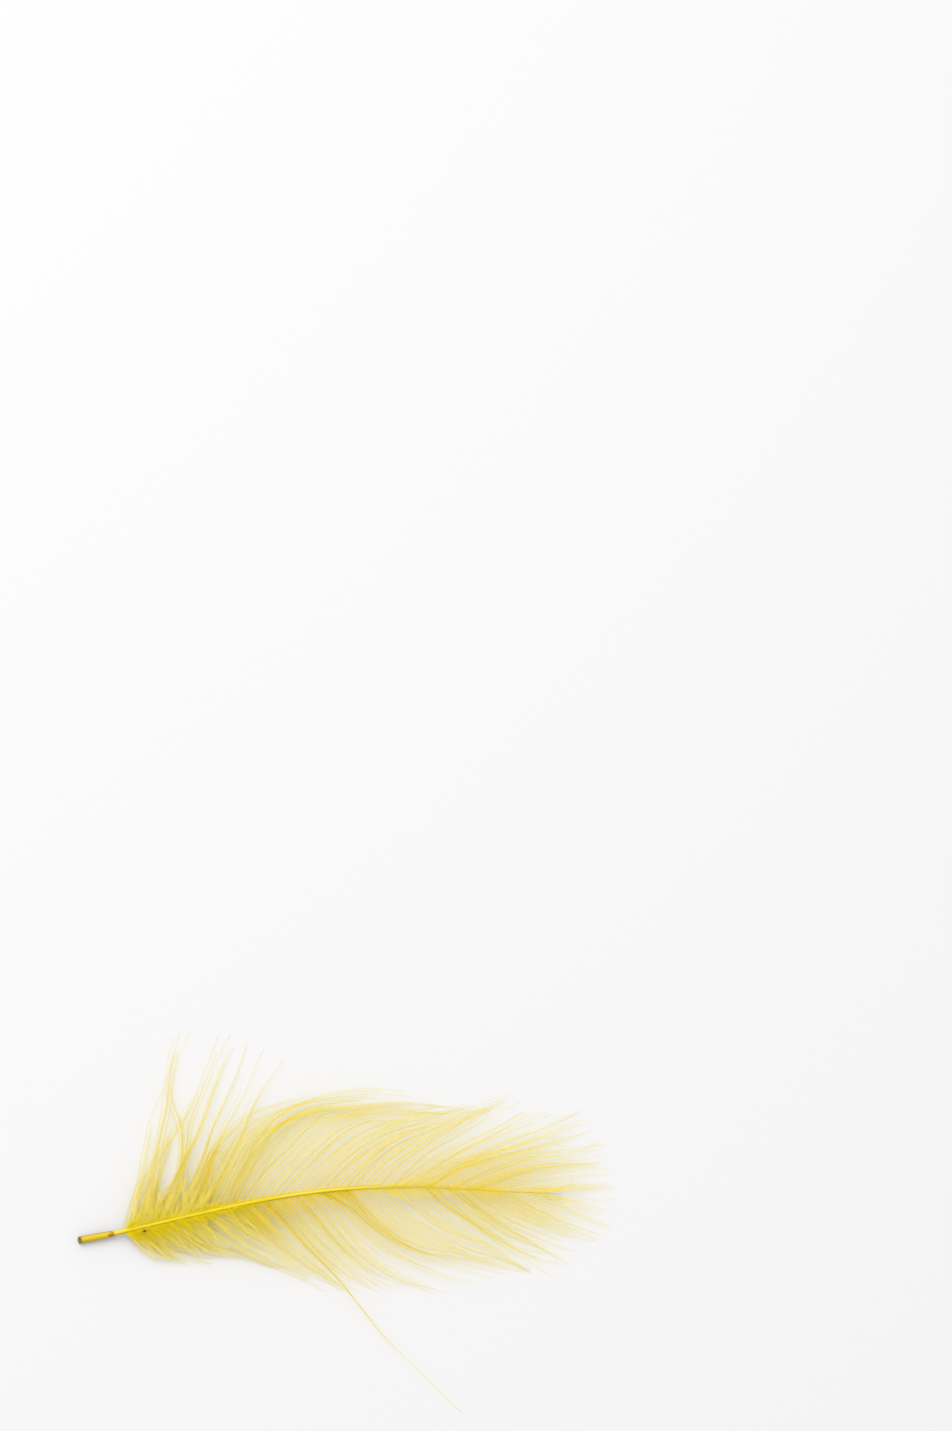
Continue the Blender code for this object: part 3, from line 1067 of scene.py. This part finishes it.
tuft = {
    "upper_hem": {
        "groups": [
            {"x": (-25.3, -8.0), "headings": (46, 34), "scatter": 10, "length": (1.0, 3.2),
             "fade": 0.1, "count": 310, "crowding": 1.4},
        ],
        "barbRadius": (0.022, 0.008),
        "arch": (0.2, 0.45),
        "held": 0.7,
        "material": hemMaterial,
        "barbules": tuftBarbules,
        "seed": 31,
    },
    "lower_hem": {
        "groups": [
            {"x": (-25.3, -9.0), "headings": (-34, -12), "scatter": 10, "length": (1.1, 3.4),
             "fade": 0.15, "count": 400, "crowding": 1.3},
        ],
        "barbRadius": (0.022, 0.008),
        "arch": (0.05, 0.25),
        "held": 0.9,
        "material": hemMaterial,
        "barbules": tuftBarbules,
        "seed": 32,
    },
    "shaft_fringe": {
        "groups": [
            {"x": (-12.0, 5.0), "headings": (52, 44), "scatter": 6, "length": (0.4, 1.2),
             "fade": 1.0, "count": 170, "crowding": 1.0},
            {"x": (4.0, 18.0), "headings": (34, 22), "scatter": 8, "length": (0.8, 3.0),
             "fade": 0.5, "count": 135, "crowding": 1.0},
            {"x": (-12.0, 5.0), "headings": (-44, -46), "scatter": 6, "length": (0.4, 1.3),
             "fade": 1.0, "count": 170, "crowding": 1.0},
            {"x": (4.0, 18.0), "headings": (-34, -28), "scatter": 8, "length": (0.8, 3.0),
             "fade": 0.5, "count": 135, "crowding": 1.0},
        ],
        "barbRadius": (0.020, 0.006),
        "arch": (0.0, 0.1),
        "held": 0.6,
        "material": fluffMaterial,
        "barbules": fringeBarbules,
        "seed": 37,
    },
    "upper_fluff": {
        "groups": [
            {"x": (-24.8, -16.5), "headings": (68, 58), "scatter": 14, "length": (2.0, 6.0),
             "fade": 0.9, "count": 130, "crowding": 1.0},
        ],
        "barbRadius": (0.014, 0.005),
        "arch": (0.3, 0.6),
        "held": 0.7,
        "material": fluffMaterial,
        "barbules": woolBarbules,
        "seed": 35,
    },
    "lower_fluff": {
        "groups": [
            {"x": (-25.0, -11.0), "headings": (-46, -24), "scatter": 10, "length": (2.5, 6.0),
             "fade": 1.1, "count": 150, "crowding": 1.3},
            {"x": (-14.0, 1.0), "headings": (-46, -38), "scatter": 6, "length": (1.5, 4.5),
             "fade": 0.3, "count": 100, "crowding": 1.1},
        ],
        "barbRadius": (0.014, 0.005),
        "arch": (0.0, 0.2),
        "held": 0.5,
        "material": fluffMaterial,
        "barbules": woolBarbules,
        "seed": 36,
    },
}
tuftLook = {"steps": 8, "tone": (-0.15, 0.15), "sway": 0.15, "waveLength": 6, "bend": 4}


# A group's barbs leave the shaft at start + span * random ^ crowding, so a crowding above 1 packs its start.
def tuftPaths(spec):
    rng = np.random.default_rng(spec["seed"])
    made = []
    for group in spec["groups"]:
        count = group["count"]
        start, span = group["x"][0], group["x"][1] - group["x"][0]
        rootX = start + span * rng.random(count) ** group["crowding"]
        headings = np.tile(np.linspace(*group["headings"], 3), (count, 1))
        headings = headings + rng.normal(0, group["scatter"], (count, 1))
        headings = headings + rng.normal(0, tuftLook["bend"], headings.shape)
        along = (rootX - start) / span
        length = rng.uniform(*group["length"], count) * (1 + (group["fade"] - 1) * along)
        arch = rng.uniform(*spec["arch"], count)
        paths = growBarbs(rootX, headings, length, arch, tuftLook["steps"], fall=1.0, held=spec["held"])
        cycles = length / tuftLook["waveLength"]
        made.append(sway(paths, np.full(count, tuftLook["sway"]), cycles, rng.random(count)))
    paths = np.concatenate(made)
    return paths, rng.uniform(*tuftLook["tone"], len(paths))


for name, spec in tuft.items():
    paths, tone = tuftPaths(spec)
    even = np.ones(len(paths))
    parts = [
        barbTubes(paths, tone, *spec["barbRadius"]),
        barbules(paths, tone, even, spec["barbules"], spec["seed"] + 1),
    ]
    makeObject(name, parts, [spec["material"]])


# Shaft piece: a tube whose first rings lean back as the cut does, by radius * (sin a + 1) * tan(cut angle). The
# bore inside it is its first rings, from the bottom of the bore out to the cut.
def shaftParts():
    places = np.linspace(0, 1, shaft["rings"]) ** shaft["crowding"]
    line = smoothLine(shaft["line"], shaft["ringSamples"])
    line = line[(places * (len(line) - 1)).astype(int)]
    centre, radius = line[:, :3], line[:, 3]
    tangents = unit(np.gradient(centre, axis=0))
    angle = evenAngles(shaft["sides"])
    ring = ringsAcross(*acrossTangents(tangents), shaft["sides"])
    outer = centre[:, None] + radius[:, None, None] * ring
    lean = math.tan(math.radians(shaft["cutAngle"]))
    fade = np.clip(1 - np.arange(shaft["rings"]) / shaft["cutRings"], 0, 1)[:, None]
    slide = (np.sin(angle) + 1) * radius[0] * lean * fade  # the top of the cut lies further in
    outer = outer + tangents[:, None] * slide[:, :, None]
    depth = np.linspace(0, shaft["boreDepth"], shaft["boreRings"])
    boreCentre = centre[0] + tangents[0] * depth[:, None]
    bore = boreCentre[:, None] + shaft["boreRadius"] * ring[0]
    boreFade = np.clip(1 - depth / shaft["boreFade"], 0, 1)[:, None]
    boreSlide = (np.sin(angle) * shaft["boreSlant"] + 1) * radius[0] * lean * boreFade
    bore = bore + tangents[0] * boreSlide[:, :, None]
    rings = np.concatenate([bore[::-1], outer])
    count, sides = rings.shape[:2]
    along = np.concatenate([-depth[::-1], centre[:, 0] - centre[0, 0]])
    values = {"along": np.repeat(along, sides), "across": np.tile(np.cos(angle), count)}
    return [(rings.reshape(-1, 3), tubeTriangles(count, sides), values)]


# The shaft's colour: its yellow on top and painted shade, a darker yellow, on its near flank, the side away from
# the light; a brown rim along the quill's far edge, brown at its cut end, and a brown patch in it. Each mark is
# a smooth step or bump over millimetres along the shaft or over its side, and the patch is worn by noise.
shaftLook = {
    "top": (0.70, 0.555, 0.01),
    # painted shade: the darker yellow of the near flank, the side away from the light
    "shadedflank": (0.47, 0.35, 0.0),
    "quill": (0.60, 0.43, 0.005),
    "rim": (0.36, 0.21, 0.01),
    "rimFrom": (-0.5, -0.95),
    "rimTo": (3.9, 3.4),
    "brown": (0.26, 0.15, 0.008),
    "end": (0.27, 0.17, 0.035),
    "roughness": 0.45,
    "specular": 0.3,
    "through": 0.35,
    # where the painted shade on the near flank starts and where it is full, across the shaft
    "shadedFlankFrom": (0.1, 0.8),
    "quillTo": (4.6, 3.8),
    "patch": (3.45, 3.7, 4.1, 4.4),
    "endTo": (0.75, 0.3),
    "thin": (0.52, 0.42, 0.02),
    "thinFrom": (30.0, 38.0),
    "wearScale": 2600,
    "wearDetail": 2,
    "wearFrom": (0.3, 0.55),
}
# the second colour is the painted shade of the near flank
shaftColours = ("Top", "ShadedFlank", "Quill", "Rim", "Brown", "End", "Thin")


def shaftGroup():
    group = bpy.data.node_groups.new("shaftTone", "ShaderNodeTree")
    for name in shaftColours:
        group.interface.new_socket(name, in_out="INPUT", socket_type="NodeSocketColor")
    group.interface.new_socket("Colour", in_out="OUTPUT", socket_type="NodeSocketColor")
    nodes, links = group.nodes, group.links
    inlet = nodes.new("NodeGroupInput")
    outlet = nodes.new("NodeGroupOutput")

    def attribute(name):
        node = nodes.new("ShaderNodeAttribute")
        node.attribute_name = name
        return node.outputs["Fac"]

    def ramp(value, low, high):  # smooth step, falling where low is the larger
        node = nodes.new("ShaderNodeMapRange")
        node.interpolation_type = "SMOOTHSTEP"
        node.inputs["From Min"].default_value = min(low, high)
        node.inputs["From Max"].default_value = max(low, high)
        node.inputs["To Min"].default_value = 0 if low < high else 1
        node.inputs["To Max"].default_value = 1 if low < high else 0
        links.new(value, node.inputs["Value"])
        return node.outputs["Result"]

    def times(one, other):
        node = nodes.new("ShaderNodeMath")
        node.operation = "MULTIPLY"
        links.new(one, node.inputs[0])
        links.new(other, node.inputs[1])
        return node.outputs[0]

    def blend(mask, below, above):
        node = nodes.new("ShaderNodeMix")
        node.data_type = "RGBA"
        links.new(mask, node.inputs["Factor"])
        links.new(below, node.inputs["A"])
        links.new(above, node.inputs["B"])
        return node.outputs["Result"]

    place = nodes.new("ShaderNodeTexCoord")
    noise = nodes.new("ShaderNodeTexNoise")
    noise.inputs["Scale"].default_value = shaftLook["wearScale"]
    noise.inputs["Detail"].default_value = shaftLook["wearDetail"]
    links.new(place.outputs["Object"], noise.inputs["Vector"])
    wear = ramp(noise.outputs["Fac"], *shaftLook["wearFrom"])
    along, across = attribute("along"), attribute("across")
    colour = blend(ramp(along, *shaftLook["quillTo"]), inlet.outputs["Top"], inlet.outputs["Quill"])
    # painted shade: the near flank turns to a darker yellow
    colour = blend(ramp(across, *shaftLook["shadedFlankFrom"]), colour, inlet.outputs["ShadedFlank"])
    rim = times(ramp(across, *shaftLook["rimFrom"]), ramp(along, *shaftLook["rimTo"]))
    colour = blend(rim, colour, inlet.outputs["Rim"])
    colour = blend(ramp(along, *shaftLook["thinFrom"]), colour, inlet.outputs["Thin"])
    rise, full, hold, stop = shaftLook["patch"]
    patch = times(times(ramp(along, rise, full), ramp(along, stop, hold)), wear)
    colour = blend(patch, colour, inlet.outputs["Brown"])
    colour = blend(ramp(along, *shaftLook["endTo"]), colour, inlet.outputs["End"])
    links.new(colour, outlet.inputs["Colour"])
    return group


def shaftMaterial():
    # the shaft's dyed yellow, with painted shade on its near flank
    material, nodes, links, body = startDyed("dyedShaftPaintedShade", shaftGroup(), shaftColours, shaftLook)
    links.new(body, nodes["Material Output"].inputs["Surface"])
    return material


makeObject("shaft", shaftParts(), [shaftMaterial()])


# A dark crumb caught in the tuft below the shaft, with two smaller ones that have rubbed off it. Each is a ball
# whose rings are pushed in and out by 1 + dent * sin(bumps * around + twist * share) * sin(pi * share), where
# share runs from the ball's top to its foot.
crumb = {
    "places": [
        (-22.95, -1.16, 1.50, 0.14),
        (-22.60, -1.12, 1.45, 0.07),
        (-23.27, -1.24, 1.42, 0.06),
    ],
    "stretch": (1.25, 0.85, 0.6),
    "dent": 0.2,
    "bumps": 3,
    "twist": 7,
    "rings": 9,
    "sides": 14,
    "colour": (0.055, 0.035, 0.004),
    "rubbed": (0.30, 0.19, 0.01),
    "rubbedUnder": 0.1,
    "roughness": 0.8,
    "specular": 0.2,
}


def crumbParts():
    share = np.linspace(0, 1, crumb["rings"])[1:-1]
    around, sides = evenAngles(crumb["sides"]), crumb["sides"]
    out, drop = np.sin(math.pi * share)[:, None], np.cos(math.pi * share)[:, None]
    wave = 1 + crumb["dent"] * np.sin(crumb["bumps"] * around + share[:, None] * crumb["twist"]) * out
    flat = out * wave
    ring = np.stack([flat * np.cos(around), flat * np.sin(around), drop * wave], axis=-1)
    ball = np.concatenate([[(0, 0, 1)], ring.reshape(-1, 3), [(0, 0, -1)]]) * crumb["stretch"]
    side = np.arange(sides)
    after = (side + 1) % sides
    last = len(ball) - 1
    top = np.stack([np.zeros_like(side), side + 1, after + 1], axis=-1)
    bottom = np.stack([np.full_like(side, last), last - sides + after, last - sides + side], axis=-1)
    triangles = np.concatenate([wallTriangles(len(share), sides) + 1, top, bottom])
    made = []
    for x, y, z, radius in crumb["places"]:
        rubbed = np.full(len(ball), float(radius <= crumb["rubbedUnder"]))
        made.append((ball * radius + (x, y, z), triangles, {"rubbed": rubbed}))
    return made


def crumbMaterial():
    material, nodes, links, shader = startMaterial("darkCrumb", crumb)
    rubbed = nodes.new("ShaderNodeAttribute")
    rubbed.attribute_name = "rubbed"
    mix = nodes.new("ShaderNodeMix")
    mix.data_type = "RGBA"
    mix.inputs["A"].default_value = (*crumb["colour"], 1)
    mix.inputs["B"].default_value = (*crumb["rubbed"], 1)
    links.new(rubbed.outputs["Fac"], mix.inputs["Factor"])
    links.new(mix.outputs["Result"], shader.inputs["Base Color"])
    return material


makeObject("crumb", crumbParts(), [crumbMaterial()])


# Table, light and camera.
studio = {
    "floorSize": 4,
    "floorColour": (0.44, 0.4365, 0.4388),
    "roughness": 0.9,
    "specular": 0.0,
    "worldStrength": 1.575,
    "keyPower": 3.7,
    "keySize": 0.6,
    "keyPlace": (-0.22, 0.30, 0.55),
}


def makeFloor():
    bpy.ops.mesh.primitive_plane_add(size=studio["floorSize"])
    floor = bpy.context.object
    floor.name = "floor"
    material, _, _, shader = startMaterial("paleTable", studio)
    shader.inputs["Base Color"].default_value = (*studio["floorColour"], 1)
    floor.data.materials.append(material)


def makeLight():
    world = bpy.data.worlds.new("studio")
    world.use_nodes = True
    sky = world.node_tree.nodes["Background"]
    sky.inputs["Color"].default_value = (1, 1, 1, 1)
    sky.inputs["Strength"].default_value = studio["worldStrength"]
    bpy.context.scene.world = world
    light = bpy.data.lights.new("key", "AREA")
    light.size = studio["keySize"]
    light.energy = studio["keyPower"]
    key = bpy.data.objects.new("key", light)
    key.location = studio["keyPlace"]
    key.rotation_mode = "QUATERNION"
    key.rotation_quaternion = (-Vector(studio["keyPlace"])).to_track_quat("-Z", "Y")
    bpy.context.scene.collection.objects.link(key)


def makeCamera():
    camera = bpy.data.objects.new("camera", bpy.data.cameras.new("camera"))
    camera.data.lens = view["lens"]
    camera.data.sensor_width = view["sensor"]
    camera.data.clip_start, camera.data.clip_end = view["clip"]
    lean = math.radians(view["elevation"])
    back = Vector((0, -math.cos(lean), math.sin(lean)))
    camera.location = (Vector(view["aim"]) + back * view["distance"]) * mm
    camera.rotation_mode = "QUATERNION"
    camera.rotation_quaternion = (-back).to_track_quat("-Z", "Y")
    bpy.context.scene.collection.objects.link(camera)
    bpy.context.scene.camera = camera


makeFloor()
makeLight()
makeCamera()
print("studio ready")
